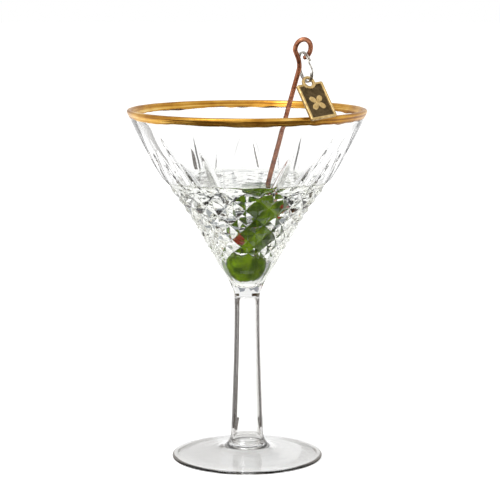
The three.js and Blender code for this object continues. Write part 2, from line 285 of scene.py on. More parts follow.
def gilding_material():
    m = Nodes("gilding")
    streaks = m.noise(1.0, 6.0, 0.6, m.stretched((18.0, 18.0, 900.0)))
    patches = m.noise(70.0, 3.0)
    shade = m.mix(0.35, streaks, patches)
    colour = m.ramp(shade, (0.36, (0.20, 0.075, 0.012)), (0.46, (0.42, 0.19, 0.026)), (0.56, (0.68, 0.38, 0.07)),
                    (0.68, (0.97, 0.73, 0.30)))
    m.feed("Base Color", colour)
    m.feed("Roughness", m.ramp(streaks, (0.3, 0.42), (0.7, 0.2)))
    m.set(Metallic=1.0)
    m.bump(streaks, 0.00012)
    return m.material


def copper_material():
    m = Nodes("copper_wire")
    tarnish = m.noise(220.0, 6.0, 0.65)
    scratches = m.noise(1.0, 4.0, 0.6, m.stretched((1400.0, 1400.0, 120.0)))
    colour = m.ramp(tarnish, (0.33, (0.13, 0.045, 0.022)), (0.5, (0.30, 0.115, 0.062)), (0.68, (0.52, 0.23, 0.13)))
    m.feed("Base Color", colour)
    m.feed("Roughness", m.ramp(scratches, (0.3, 0.28), (0.7, 0.46)))
    m.set(Metallic=1.0)
    m.bump(scratches, 0.00003)
    return m.material


def olive_material():
    m = Nodes("olive_skin")
    mottle = m.noise(180.0, 5.0, 0.6)
    patches = m.noise(60.0, 2.0)
    shade = m.mix(0.5, mottle, patches)
    # the olives' own mottle, widened into painted light: bright yellow-green patches are painted glints of light
    # through them, dark ones painted shade
    colour = m.ramp(shade, (0.37, (0.020, 0.042, 0.001)), (0.5, (0.075, 0.135, 0.002)), (0.64, (0.27, 0.43, 0.004)))
    m.feed("Base Color", colour)
    m.feed("Roughness", m.ramp(mottle, (0.3, 0.30), (0.7, 0.44)))
    m.set(Subsurface_Weight=0.5, Subsurface_Scale=0.005, Specular_IOR_Level=0.12)
    m.shader.inputs["Subsurface Radius"].default_value = (0.5, 1.0, 0.05)
    m.bump(mottle, 0.0001)
    return m.material


def pimento_material():
    m = Nodes("pimento")
    fibres = m.noise(350.0, 5.0, 0.6)
    m.feed("Base Color", m.ramp(fibres, (0.35, (0.22, 0.022, 0.008)), (0.65, (0.48, 0.07, 0.022))))
    m.feed("Roughness", m.ramp(fibres, (0.3, 0.2), (0.7, 0.4)))
    m.set(Subsurface_Weight=0.3, Subsurface_Scale=0.002, Specular_IOR_Level=0.15)
    m.bump(fibres, 0.00015)
    return m.material


def ring_material():
    m = Nodes("ring_steel")
    wear = m.noise(900.0, 5.0, 0.6)
    m.feed("Base Color", m.ramp(wear, (0.35, (0.16, 0.14, 0.11)), (0.62, (0.62, 0.60, 0.55))))
    m.feed("Roughness", m.ramp(wear, (0.3, 0.35), (0.7, 0.2)))
    m.set(Metallic=1.0)
    m.bump(wear, 0.00002)
    return m.material


def charm_material():
    """Antiqued brass: dark in its corners and field, rubbed bright on its edges."""
    m = Nodes("antique_brass")
    grime = m.noise(500.0, 6.0, 0.65)
    raised = m.add("ShaderNodeAttribute", attribute_name="raised").outputs["Fac"]
    rubbed = m.ramp(m.mix(0.22, raised, grime), (0.3, 0.0), (0.62, 1.0))
    dark = m.ramp(grime, (0.3, (0.050, 0.034, 0.015)), (0.7, (0.15, 0.105, 0.050)))
    bright = m.ramp(grime, (0.3, (0.42, 0.28, 0.10)), (0.7, (0.74, 0.54, 0.25)))
    m.feed("Base Color", m.mix(rubbed, dark, bright))
    m.feed("Roughness", m.ramp(grime, (0.3, 0.5), (0.7, 0.32)))
    m.set(Metallic=1.0)
    m.bump(grime, 0.00006)
    return m.material


def mark_raised(piece, amounts):
    """Notes for each point how far it stands out of the charm's field, 0 to 1."""
    attribute = piece.data.attributes.new("raised", "FLOAT", "POINT")
    attribute.data.foreach_set("value", np.asarray(amounts, np.float32))


# ------------------------------------------------------------------ bowl

SEGMENTS = 432                  # round the glass; a multiple of the diamonds and of the panels
LIP_RADIUS = RIM_RADIUS - 0.45
LIP_CENTRE = LIP_RADIUS - 1.0
LIP_ROUND = 1.0
LIP_HEIGHT = RIM_TOP - 0.35
SHOULDER = LIP_HEIGHT - LIP_ROUND   # where the wall ends and its rounded lip begins
PLAIN_TOP = 161.0               # above this height the outer wall is plain
ROWS_BELOW_BAND = 21
ROWS_ABOVE_BAND = 37
ROWS_TO_LIP = 7
OUTER_WALL = [                  # height, radius
    (79.5, 6.25), (81.5, 6.6), (84.3, 7.7), (90, 10.6), (95.8, 14.4), (102.5, 18.4), (109.4, 22.4), (120.5, 29.1),
    (130, 35.8), (137, 40.6), (144.7, 45.3), (152.5, 49.6), (160.5, 53.5),
    (SHOULDER, LIP_RADIUS),
]
INNER_WALL = [
    (87.9, 6.0), (95.8, 10.8), (109.4, 18.9), (120.5, 25.9), (130, 32.4), (137, 37.4), (144.7, 42.2),
    (152.5, 46.8), (160.5, 51.0), (SHOULDER, LIP_RADIUS - 2 * LIP_ROUND),
]
DRINK_MIDDLE = DRINK_LEVEL - 0.3    # the flat middle of the drink's surface
MENISCUS = 0.75                 # how far the drink climbs the wall
WET_TOP = DRINK_MIDDLE + MENISCUS
INNER_TIP_HEIGHT = 84.5
INNER_TIP_RADIUS = 7.0

DIAMONDS = 18                   # round the bowl
DIAMOND_CELLS = SEGMENTS // DIAMONDS
BAND_BOTTOM = 98.0
BAND_TOP = 137.0
DIAMOND_SLOPE = 0.17            # depth of the crossing cuts for each unit of the bowl's radius, over a diamond
DEEPEST_CUT = 1.9
PANELS = 12                     # shallow flats round the bottom of the bowl
SMOOTH_ABOVE = BAND_TOP - 2     # the leaves' grooves have no sharp edges

# Leaf-shaped cuts of one half-repeat: angle and height of the foot, angle and height of the tip, depth, slope.
LEAVES = [
    (15.0, 116.0, 25.0, 155.0, 1.15, 0.62),
    (28.0, 125.0, 40.5, 148.0, 1.00, 0.62),
    (37.0, 124.0, 48.5, 161.0, 0.80, 0.60),
    (45.5, 126.0, 58.0, 153.0, 0.95, 0.60),
]
LEAF_REPEATS = 3


def outer_radius(height):
    return curve_through(OUTER_WALL, height)


def inner_outline(grow=0.0, rows=22):
    """Radius and height up the inside of the bowl, from just off the axis; grow moves it into the wall."""
    cone = math.atan2(INNER_WALL[1][1] - INNER_WALL[0][1], INNER_WALL[1][0] - INNER_WALL[0][0])
    turn = np.linspace(0, math.pi / 2 - cone, 8)[1:]
    tip_radius = INNER_TIP_RADIUS + grow
    tip = np.stack([tip_radius * np.sin(turn), INNER_TIP_HEIGHT + INNER_TIP_RADIUS - tip_radius * np.cos(turn)], 1)
    heights = np.sort(np.append(np.linspace(INNER_WALL[0][0] + 2.0, INNER_WALL[-1][0], rows), WET_TOP))
    wall = np.stack([curve_through(INNER_WALL, heights) + grow / math.cos(cone), heights], 1)
    return np.vstack([tip, wall])


def band_heights():
    """Rows through the diamond band, each one cell above the last, so that cuts run along the cells' diagonals."""
    heights = [BAND_BOTTOM]
    cell = 2 * math.pi / SEGMENTS
    while heights[-1] < BAND_TOP + 1.0:
        z = heights[-1]
        radius = float(outer_radius(np.array([z]))[0])
        rise = float(outer_radius(np.array([z + 0.5]))[0]) - radius
        heights.append(z + radius * cell / math.hypot(1.0, rise / 0.5))
    return np.array(heights)


def leaf_cut(turn, height, radius, leaf, centre, side):
    """Depth of one leaf-shaped cut: deepest halfway along, running out to a point at both ends."""
    foot_angle, foot_height, tip_angle, tip_height, depth, slope = leaf
    along = (height - foot_height) / (tip_height - foot_height)
    angle = centre + side * np.radians(foot_angle + (tip_angle - foot_angle) * along)
    apart = np.abs((turn - angle + math.pi) % (2 * math.pi) - math.pi) * radius
    floor = depth * (1 - (2 * np.clip(along, 0, 1) - 1) ** 2)
    half_width = np.maximum(1.35 * floor / slope, 1e-6)
    groove = (1 - np.clip(apart / half_width, 0, 1) ** 2) ** 2
    return np.where((along > 0) & (along < 1), floor * groove, 0)


def cut_depth(turn, height, rows_up, radius):
    """How deep the outer wall is cut, in millimetres, on a grid of angles and heights."""
    across = turn * DIAMONDS / (2 * math.pi) + 0.07 * np.sin(5 * turn + 0.12 * height)
    up = rows_up / DIAMOND_CELLS + 0.06 * np.sin(7 * turn)
    nearest = np.minimum(np.abs((across + up) % 1 - 0.5), np.abs((across - up) % 1 - 0.5))
    band = smooth_step(BAND_BOTTOM - 1, BAND_BOTTOM + 4, height) * (1 - smooth_step(BAND_TOP - 5, BAND_TOP, height))
    spacing = 2 * math.pi * radius / DIAMONDS
    depth = np.minimum(DIAMOND_SLOPE * spacing * (1 - 2 * nearest), DEEPEST_CUT) * band
    sector = 2 * math.pi / PANELS
    off_centre = (turn + math.pi / 2 + sector / 2) % sector - sector / 2
    flat = np.maximum(1 - math.cos(sector / 2) / np.cos(off_centre), 0) * radius * 0.85
    panel = smooth_step(81.5, 86, height) * (1 - smooth_step(98, 104, height))
    depth = np.maximum(depth, flat * panel)
    for repeat in range(LEAF_REPEATS):
        centre = -math.pi / 2 + repeat * 2 * math.pi / LEAF_REPEATS
        for leaf in LEAVES:
            for side in (-1, 1):
                depth = np.maximum(depth, leaf_cut(turn, height, radius, leaf, centre, side))
    return depth


def split_along_cuts(mid_depths, depths, rows, count):
    """Two triangles for each cell, split along the diagonal that keeps closer to the true depth in its middle."""
    faces = []
    nxt = np.roll(np.arange(count), -1)
    for i in range(rows - 1):
        low, high = depths[i], depths[i + 1]
        rising = np.abs((low + high[nxt]) / 2 - mid_depths[i])
        falling = np.abs((low[nxt] + high) / 2 - mid_depths[i])
        for j in range(count):
            k = nxt[j]
            a, b, c, d = i * count + j, i * count + k, (i + 1) * count + k, (i + 1) * count + j
            if rising[j] <= falling[j]:
                faces += [(a, b, c), (a, c, d)]
            else:
                faces += [(a, b, d), (b, c, d)]
    return faces


def make_bowl(material, wetted):
    band = band_heights()
    cell_rows = np.arange(len(band), dtype=float)
    below = np.linspace(BOWL_BOTTOM, BAND_BOTTOM, ROWS_BELOW_BAND)[:-1]
    above = np.concatenate([
        np.linspace(band[-1], PLAIN_TOP, ROWS_ABOVE_BAND)[1:], np.linspace(PLAIN_TOP, SHOULDER, ROWS_TO_LIP)[1:],
    ])
    heights = np.concatenate([below, band, above])
    rows_up = np.interp(heights, band, cell_rows, left=0, right=cell_rows[-1])
    turn = np.arange(SEGMENTS) * 2 * math.pi / SEGMENTS
    half_cell = math.pi / SEGMENTS

    def depth_on(angles, zs, ups):
        grid_z = np.repeat(zs[:, None], SEGMENTS, 1)
        radius = np.repeat(outer_radius(zs)[:, None], SEGMENTS, 1)
        return cut_depth(np.repeat(angles[None, :], len(zs), 0), grid_z, np.repeat(ups[:, None], SEGMENTS, 1), radius)

    depths = depth_on(turn, heights, rows_up)
    mids = depth_on(turn + half_cell, (heights[1:] + heights[:-1]) / 2, (rows_up[1:] + rows_up[:-1]) / 2)
    radii = outer_radius(heights)[:, None] - depths
    outer = np.stack([radii * np.cos(turn), radii * np.sin(turn), np.repeat(heights[:, None], SEGMENTS, 1)], 2)
    faces = split_along_cuts(mids, depths, len(heights), SEGMENTS)

    lip_turn = np.linspace(0, math.pi, 9)[1:-1]
    lip = np.stack([LIP_CENTRE + LIP_ROUND * np.cos(lip_turn),
                    SHOULDER + LIP_ROUND * np.sin(lip_turn)], 1)
    inside = np.vstack([lip, inner_outline()[::-1]])
    inner = np.stack([inside[:, :1] * np.cos(turn), inside[:, :1] * np.sin(turn),
                      np.repeat(inside[:, 1:], SEGMENTS, 1)], 2)
    rings = np.vstack([outer.reshape(-1, 3), inner.reshape(-1, 3)])
    rows = len(heights) + len(inside)
    verts, smooth_faces = cap_rings(rings, rows, SEGMENTS, (0, 0, BOWL_BOTTOM), (0, 0, INNER_TIP_HEIGHT))
    outer_quads = (len(heights) - 1) * SEGMENTS
    bowl = add_object("bowl_cut", verts, faces + smooth_faces[outer_quads:], material, sharp_deg=9)
    bowl.data.materials.append(wetted)
    first_inner = len(heights) * SEGMENTS
    for polygon in bowl.data.polygons[len(faces):]:
        is_inner = all(v >= first_inner for v in polygon.vertices)
        if is_inner and polygon.center.z < WET_TOP * MM:
            polygon.material_index = 1
    sharp = bowl.data.attributes["sharp_edge"].data
    corners = bowl.data.vertices
    for edge in bowl.data.edges:
        if min(corners[v].co.z for v in edge.vertices) > SMOOTH_ABOVE * MM:
            sharp[edge.index].value = False
    place(bowl, "glass", "cut_glass", "bowl")


# ------------------------------------------------------------------ stem and foot

JOINT_OVERLAP = 0.03            # how far the pieces of glass run into each other, where they are fused
STEM_WALL = 1.2
STEM_SEGMENTS = 96


def make_stem(material):
    bottom, top = FOOT_TOP - 0.2, BOWL_BOTTOM + JOINT_OVERLAP
    outline = [(bottom, 8.6), (11.2, 7.95), (16, 7.75), (22.8, 7.5), (35.2, 7.05), (48.6, 6.62), (62.5, 6.3),
               (72, 6.2), (top, 6.25)]
    heights = np.linspace(bottom, top, 60)
    outside = curve_through(outline, heights)
    wall = STEM_WALL + 0.4 * np.exp(-(heights - bottom) / 2.5) + 0.5 * np.exp((heights - top) / 1.2)
    turn = np.arange(STEM_SEGMENTS) * 2 * math.pi / STEM_SEGMENTS
    loop_r = np.concatenate([outside, (outside - wall)[::-1]])
    loop_z = np.concatenate([heights, heights[::-1]])
    rings = np.stack([loop_r[:, None] * np.cos(turn), loop_r[:, None] * np.sin(turn),
                      np.repeat(loop_z[:, None], STEM_SEGMENTS, 1)], 2).reshape(-1, 3)
    faces = ring_faces(len(loop_r), STEM_SEGMENTS, closed=True)
    stem = add_object("stem_drawn", rings, faces, material, sharp_deg=50)
    place(stem, "glass", "cut_glass", "stem")


FOOT_EDGE = 0.85                # half the thickness of its rounded edge
FOOT_NECK_RADIUS = 8.55         # where it meets the stem
FOOT_RING_WIDTH = 2.2           # the ring that it stands on
FOOT_HOLLOW_RADIUS = 6.2        # flat middle of its hollow underside
FOOT_SHEET_LOW = 5.05           # the thin sheet across its middle
FOOT_SHEET_HIGH = 5.8
ROUND_SEGMENTS = 192            # round the foot and the drink


def make_foot(material):
    edge = FOOT_RADIUS
    top = [(FOOT_NECK_RADIUS, FOOT_TOP), (9.4, 7.3), (10.8, 5.9), (13.5, 4.7), (18, 3.75), (24, 2.95), (30, 2.3),
           (edge - FOOT_EDGE, 2 * FOOT_EDGE)]
    radii = np.linspace(FOOT_NECK_RADIUS, edge - FOOT_EDGE, 44)
    heights = curve_through(top, radii)
    roll = np.linspace(math.pi / 2, -math.pi / 2, 13)[1:]
    rim_r = edge - FOOT_EDGE + FOOT_EDGE * np.cos(roll)
    rim_z = FOOT_EDGE + FOOT_EDGE * np.sin(roll)
    under = [(FOOT_HOLLOW_RADIUS, 5.0), (8.2, 4.9), (9.6, 4.4), (12.5, 3.25), (17.5, 2.25), (24, 1.45), (30, 0.8),
             (33, 0.3), (edge - FOOT_RING_WIDTH, 0)]
    under_r = np.linspace(edge - FOOT_RING_WIDTH, FOOT_HOLLOW_RADIUS, 50)
    under_z = np.clip(curve_through(under, under_r), 0, None)
    well_r = np.array([1.5, 4.0, 5.4, 6.1, 6.5, 6.8, 6.95])
    well_z = np.array([FOOT_SHEET_HIGH, FOOT_SHEET_HIGH, 5.85, 6.1, 6.6, 7.4, FOOT_TOP])
    outline_r = np.concatenate([[0], well_r, radii, rim_r, under_r, [3.0, 0]])
    outline_z = np.concatenate([[FOOT_SHEET_HIGH], well_z, heights, rim_z, under_z, [FOOT_SHEET_LOW] * 2])
    verts, faces = revolve(outline_r[::-1], outline_z[::-1], ROUND_SEGMENTS)
    foot = add_object("foot_pressed", verts, faces, material, sharp_deg=40)
    place(foot, "glass", "cut_glass", "foot")


# ------------------------------------------------------------------ gilding

GILD_THICKNESS = 0.16
GILD_INTO_GLASS = 0.06
GILD_INSIDE_DROP = 2.3          # how far it reaches down the inside
GILD_SEGMENTS = 480


def wander(angle, seed, scale):
    """A smooth number between about -1 and 1 that varies round a circle."""
    return noise.noise(Vector((math.cos(angle) * scale, math.sin(angle) * scale, seed))) * 2


def make_gilding(material):
    """Gold painted over the lip by hand, so that its two edges waver."""
    inside_radius = LIP_RADIUS - 2 * LIP_ROUND
    last_height, last_radius = INNER_WALL[-2]
    outside_slope = (LIP_RADIUS - outer_radius(np.array([PLAIN_TOP]))[0]) / (SHOULDER - PLAIN_TOP)
    inside_slope = (inside_radius - last_radius) / (SHOULDER - last_height)
    skins = []
    for j in range(GILD_SEGMENTS):
        angle = j * 2 * math.pi / GILD_SEGMENTS
        drop_out = SHOULDER - GILD_BOTTOM - 0.15 + 0.35 * wander(angle, 1.3, 2.2) + 0.22 * wander(angle, 4.1, 9.0)
        drop_in = GILD_INSIDE_DROP + 0.4 * wander(angle, 7.7, 2.6) + 0.25 * wander(angle, 9.2, 10.0)
        path = [(LIP_RADIUS - s * drop_out * outside_slope, SHOULDER - s * drop_out) for s in np.linspace(1, 0, 13)]
        path += [(LIP_CENTRE + LIP_ROUND * math.cos(t), SHOULDER + LIP_ROUND * math.sin(t))
                 for t in np.linspace(0, math.pi, 10)[1:-1]]
        path += [(inside_radius - s * drop_in * inside_slope, SHOULDER - s * drop_in)
                 for s in np.linspace(0, 1, 13)]
        skins.append((angle, np.array(path)))
    rows = len(skins[0][1])
    around = []
    for angle, path in skins:
        along = np.gradient(path, axis=0)
        normal = np.stack([along[:, 1], -along[:, 0]], 1)
        normal /= np.linalg.norm(normal, axis=1)[:, None]
        taper = np.minimum(np.minimum(np.arange(rows), np.arange(rows)[::-1]) / 1.5, 1.0)
        brush = np.array([1 + 0.35 * noise.noise(Vector((math.cos(angle) * 6, math.sin(angle) * 6, i * 0.55)))
                          for i in range(rows)])
        thick = GILD_THICKNESS * (0.12 + 0.88 * taper) * brush
        loop = np.vstack([path + normal * thick[:, None], (path - normal * GILD_INTO_GLASS)[::-1]])
        around.append(np.stack([loop[:, 0] * math.cos(angle), loop[:, 0] * math.sin(angle), loop[:, 1]], 1))
    rings = np.stack(around, 1).reshape(-1, 3)
    faces = ring_faces(2 * rows, GILD_SEGMENTS, closed=True)
    gilding = add_object("gilding", rings, faces, material, sharp_deg=60)
    place(gilding, "glass", "gilding", "gold_rim_band")


# ------------------------------------------------------------------ drink

DRINK_INTO_WALL = 0.12
DRINK_SWELL = 0.10              # height of the slight waves on its surface


def make_drink(material, side_material):
    """Fills the bowl and reaches a little into the wall, so that glass and liquid meet without air between them."""
    outline = inner_outline(DRINK_INTO_WALL, rows=80)
    outline = outline[outline[:, 1] < WET_TOP + 0.01]
    edge = outline[-1, 0]
    out = np.linspace(1, 0, 46)[1:-1] ** 0.8
    surface_r = edge * out
    surface_z = DRINK_MIDDLE + MENISCUS * np.exp(-(edge - surface_r) / 1.4)
    radii = np.concatenate([[0], outline[:, 0], surface_r, [0]])
    heights = np.concatenate([[INNER_TIP_HEIGHT - DRINK_INTO_WALL], outline[:, 1], surface_z, [DRINK_MIDDLE]])
    verts, faces = revolve(radii, heights, ROUND_SEGMENTS)
    for v in verts:
        if v[2] > DRINK_LEVEL - 0.5:
            v[2] += DRINK_SWELL * noise.noise(Vector((v[0] * 0.16, v[1] * 0.16, 3.0)))
    drink = add_object("drink_fill", verts, faces, material, sharp_deg=45)
    drink.data.materials.append(side_material)
    for polygon in drink.data.polygons:
        if all(v < len(outline) * ROUND_SEGMENTS or v == len(verts) - 2 for v in polygon.vertices):
            polygon.material_index = 1
    place(drink, "glass", "drink", "drink")


# ------------------------------------------------------------------ pick, olives

PICK_SIDE = (Vector((1, 0, 0)) - PICK_AXIS * PICK_AXIS.x).normalized()
PICK_BACK = PICK_AXIS.cross(PICK_SIDE)
MIDDLE_OLIVE = Vector(joint("olive_mid_turn")["pos_m"]) / MM
MIDDLE_OLIVE_ALONG = 13.4       # where the middle olive's centre lies along the pick
PICK_ORIGIN = MIDDLE_OLIVE - PICK_AXIS * MIDDLE_OLIVE_ALONG
WIRE_RADIUS = 1.1
PICK_TIP = -9.6                 # along the pick
SHAFT_TOP = 100.4
LOOP_CENTRE = 112.2
LOOP_WIDTH = 3.4                # half the width of the eye bent at its top
LOOP_HEIGHT = 4.6
LOOP_START, LOOP_END = 205, -70


def on_pick(side, back, along):
    return PICK_ORIGIN + PICK_SIDE * side + PICK_BACK * back + PICK_AXIS * along


def spline_points(points, count):
    """Points evenly along a Catmull-Rom curve through the given ones."""
    p = np.array([tuple(q) for q in points], float)
    p = np.vstack([2 * p[0] - p[1], p, 2 * p[-1] - p[-2]])
    fine = []
    for i in range(1, len(p) - 2):
        for t in np.linspace(0, 1, 24, endpoint=False):
            fine.append(0.5 * (2 * p[i] + (p[i + 1] - p[i - 1]) * t
                               + (2 * p[i - 1] - 5 * p[i] + 4 * p[i + 1] - p[i + 2]) * t**2
                               + (3 * p[i] - p[i - 1] - 3 * p[i + 1] + p[i + 2]) * t**3))
    fine = np.array(fine + [p[-2]])
    length = np.concatenate([[0], np.cumsum(np.linalg.norm(np.diff(fine, axis=0), axis=1))])
    at = np.linspace(0, length[-1], count)
    return np.stack([np.interp(at, length, fine[:, k]) for k in range(3)], 1)


def sweep(path, section, radii=None):
    """Verts and faces of a closed tube along a path; section is [(x, y)], carried without twist."""
    path = np.asarray(path, float)
    tangent = np.gradient(path, axis=0)
    tangent /= np.linalg.norm(tangent, axis=1)[:, None]
    side = np.cross(tangent[0], (0.3, 0.9, 0.2))
    side /= np.linalg.norm(side)
    rings = []
    for i, (p, t) in enumerate(zip(path, tangent)):
        side = side - t * side.dot(t)
        side /= np.linalg.norm(side)
        up = np.cross(t, side)
        size = 1.0 if radii is None else radii[i]
        rings += [p + (side * x + up * y) * size for x, y in section]
    count = len(section)
    verts, faces = cap_rings(np.array(rings), len(path), count, path[0], path[-1])
    return verts, faces


def circle(radius, count):
    return [(radius * math.cos(a), radius * math.sin(a)) for a in np.arange(count) * 2 * math.pi / count]


def make_pick(material):
    points = [on_pick(0, 0, s) for s in np.linspace(PICK_TIP, SHAFT_TOP, 14)]
    points += [on_pick(-0.15, 0, SHAFT_TOP + 2.5), on_pick(-1.4, 0, SHAFT_TOP + 6)]
    steps = 14
    for i in range(steps + 1):
        share = i / steps
        turn = math.radians(LOOP_START + (LOOP_END - LOOP_START) * share)
        aside, along = -0.8 + LOOP_WIDTH * math.cos(turn), LOOP_CENTRE + LOOP_HEIGHT * math.sin(turn)
        points.append(on_pick(aside, -0.9 * share**2, along))
    path = spline_points(points, 260)
    run = np.linalg.norm(path - path[0], axis=1)
    radii = np.where(np.arange(len(path)) < 130, np.clip(0.25 + 0.75 * run / 4.0, 0, 1), 1.0)
    radii[-3:] = (0.97, 0.88, 0.6)
    radii *= 1 + 0.02 * np.sin(np.arange(len(path)) * 0.9) * np.sin(np.arange(len(path)) * 0.23)
    verts, faces = sweep(path, circle(WIRE_RADIUS, 24), radii)
    pick = add_object("pick_wire", verts, faces, material, sharp_deg=50)
    place(pick, "pick", "copper_wire", "cocktail_pick")


OLIVE_RADIUS = 8.1
PIT_RADIUS = 3.2
PIT_BOTTOM = -4.0
OLIVE_SEGMENTS = 80
PIMENTO_SEGMENTS = 56
PIMENTO_BULGE = 1.9


def to_pick_frame(verts, centre, open_end):
    """Moves verts made round +Z to an olive's place, with +Z turned to its open end."""
    pick = Matrix((PICK_SIDE, PICK_BACK, PICK_AXIS)).transposed()
    turn = Vector((0, 0, 1)).rotation_difference(Vector(open_end).normalized()).to_matrix()
    return np.asarray(verts) @ np.array(pick @ turn).T + np.array(centre)


def make_olive(place_name, seed, skin_material, red_material):
    body, hinge, half, open_end = OLIVES[place_name]
    centre = Vector(joint(hinge)["pos_m"]) / MM
    end = math.acos((PIT_RADIUS + 0.25) / OLIVE_RADIUS)
    skin = [(OLIVE_RADIUS * math.cos(a), half * math.sin(a)) for a in np.linspace(-math.pi / 2, end, 52)[1:]]
    mouth = [(PIT_RADIUS + 0.08, skin[-1][1] - 0.15), (PIT_RADIUS, skin[-1][1] - 0.7),
             (PIT_RADIUS, PIT_BOTTOM + 0.6), (PIT_RADIUS - 0.6, PIT_BOTTOM)]
    outline = [(0, -half)] + skin + mouth + [(0, PIT_BOTTOM)]
    verts, faces = revolve(*np.array(outline).T, OLIVE_SEGMENTS)
    for i, v in enumerate(verts[: len(skin) * OLIVE_SEGMENTS]):
        way = Vector(v).normalized()
        lumps = noise.noise(way * 1.3 + Vector((seed, 0, 0))) + 0.35 * noise.noise(way * 4 + Vector((0, seed, 0)))
        verts[i] = v * (1 + 0.022 * lumps)
    olive = add_object("olive_" + place_name + "_skin", to_pick_frame(verts, centre, open_end), faces,
                       skin_material, sharp_deg=70)
    place(olive, body, "olive_skin", "olive_" + place_name)
    make_pimento(place_name, body, centre, half, open_end, seed, red_material)


def make_pimento(place_name, body, centre, half, open_end, seed, material):
    """A folded strip of pepper that bulges out of the olive."""
    radius, bottom, top = PIT_RADIUS - 0.1, PIT_BOTTOM + 0.1, half * 0.925 - 0.9
    outline = [(0, bottom)] + [(radius, z) for z in np.linspace(bottom, top, 10)]
    outline += [(radius * math.cos(a), top + PIMENTO_BULGE * math.sin(a))
                for a in np.linspace(0, math.pi / 2, 10)[1:-1]]
    outline.append((0, top + PIMENTO_BULGE))
    verts, faces = revolve(*np.array(outline).T, PIMENTO_SEGMENTS)
    for v in verts:
        crown = max(0.0, (v[2] - top) / PIMENTO_BULGE)
        angle = math.atan2(v[1], v[0])
        groove = math.exp(-((v[0] * math.cos(seed) + v[1] * math.sin(seed)) / 0.7) ** 2)
        v[2] -= crown * (0.9 * groove + 0.25 * math.cos(3 * angle + seed) * math.hypot(v[0], v[1]) / radius)
    pimento = add_object("pimento_" + place_name + "_strip", to_pick_frame(verts, centre, open_end), faces,
                         material, sharp_deg=60)
    place(pimento, body, "pimento", "pimento_" + place_name)


# ------------------------------------------------------------------ split ring and charm

RING_RADIUS = 6.9
RING_WIRE_RADIUS = 0.38
RING_PITCH = 0.86               # from one coil to the other
RING_BOTTOM = Vector(joint("charm_swing")["pos_m"]) / MM
RING_HANG = (Vector(joint("charm_swing")["pos_m"]) - Vector(joint("ring_swing")["pos_m"])).normalized()
RING_FACE = Vector(joint("charm_swing")["axis"]).normalized()
RING_CENTRE = RING_BOTTOM - RING_HANG * RING_RADIUS

CHARM_WIDTH = 13.9
CHARM_LENGTH = 18.0
CHARM_THICKNESS = 1.8
CHARM_BORDER = 1.15
CHARM_FIELD_DEPTH = 0.7
CHARM_CORNER = 0.7
EYE_RISE = 0.6                  # centre of the eye above the plate's top edge
EYE_HOLE_RADIUS = 2.0
EYE_OUTER_RADIUS = 3.2
EYE_BELOW_RING = 0.35
EYE_SEGMENTS = 72
EYE_SECTION = 24
CHARM_ACROSS = Vector((11.6, 7.6, 1.5)).normalized()
CHARM_HANG = Vector((6.7, -7.4, -15.1))
CHARM_UP = -(CHARM_HANG - CHARM_ACROSS * CHARM_HANG.dot(CHARM_ACROSS)).normalized()
EYE_CENTRE = RING_BOTTOM - CHARM_UP * EYE_BELOW_RING


def make_split_ring(material):
    """Two flat coils of wire side by side, joined by one short crossing."""
    axis = RING_FACE.cross(RING_HANG)
    clear, crossing = math.radians(22), math.radians(18)
    path = []
    for turn in np.linspace(clear, 4 * math.pi - clear, 300):
        share = min(max((turn - 2 * math.pi) / crossing, -1), 1)
        aside = RING_PITCH / 2 * math.sin(share * math.pi / 2)
        path.append(RING_CENTRE + RING_FACE * (RING_RADIUS * math.cos(turn))
                    + RING_HANG * (RING_RADIUS * math.sin(turn)) + axis * aside)
    radii = np.ones(len(path))
    radii[:2] = radii[-1:-3:-1] = (0.72, 0.94)
    verts, faces = sweep(path, circle(RING_WIRE_RADIUS, 16), radii)
    ring = add_object("ring_coils", verts, faces, material, sharp_deg=50)
    place(ring, "ring", "ring_steel", "split_ring")


def charm_to_world(verts):
    """From the charm's own frame (X across, Y up, Z out of its front, the eye's centre at zero)."""
    basis = Matrix((CHARM_ACROSS, CHARM_UP, CHARM_ACROSS.cross(CHARM_UP)))
    return np.asarray(verts) @ np.array(basis) + np.array(EYE_CENTRE)


def plate_relief(x, y):
    """Height of the plate's front: a rounded border round a sunken field with a four-petalled flower."""
    half, bottom, top = CHARM_WIDTH / 2, -EYE_RISE - CHARM_LENGTH, -EYE_RISE
    inset = np.minimum(half - np.abs(x), np.minimum(y - bottom, top - y))
    from_hole = np.hypot(x, y) - EYE_HOLE_RADIUS
    border = np.maximum(1 - smooth_step(CHARM_BORDER - 0.25, CHARM_BORDER + 0.15, inset),
                        1 - smooth_step(EYE_OUTER_RADIUS - EYE_HOLE_RADIUS, 1.6, from_hole))
    edge_round = 0.28 * (1 - np.clip(np.minimum(inset, from_hole) / 0.4, 0, 1)) ** 2
    field = CHARM_THICKNESS / 2 - CHARM_FIELD_DEPTH
    height = field + CHARM_FIELD_DEPTH * border - edge_round
    u, v = x, y + EYE_RISE + CHARM_LENGTH * 0.55
    petals = np.zeros_like(x)
    for way in np.radians((45, 135, 225, 315)):
        along = u * math.cos(way) + v * math.sin(way)
        aside = -u * math.sin(way) + v * math.cos(way)
        dome = 1 - ((along - 2.5) / 2.05) ** 2 - (aside / 1.5) ** 2
        vein = 0.22 * np.exp(-(aside / 0.22) ** 2) * smooth_step(0.7, 1.4, along)
        petals = np.maximum(petals, np.sqrt(np.clip(dome, 0, 1)) - np.where(dome > 0, vein, 0))
    boss = np.sqrt(np.clip(1 - (u**2 + v**2) / 1.1**2, 0, 1)) * 1.15
    return height + 0.52 * np.maximum(petals, boss) * (1 - border)


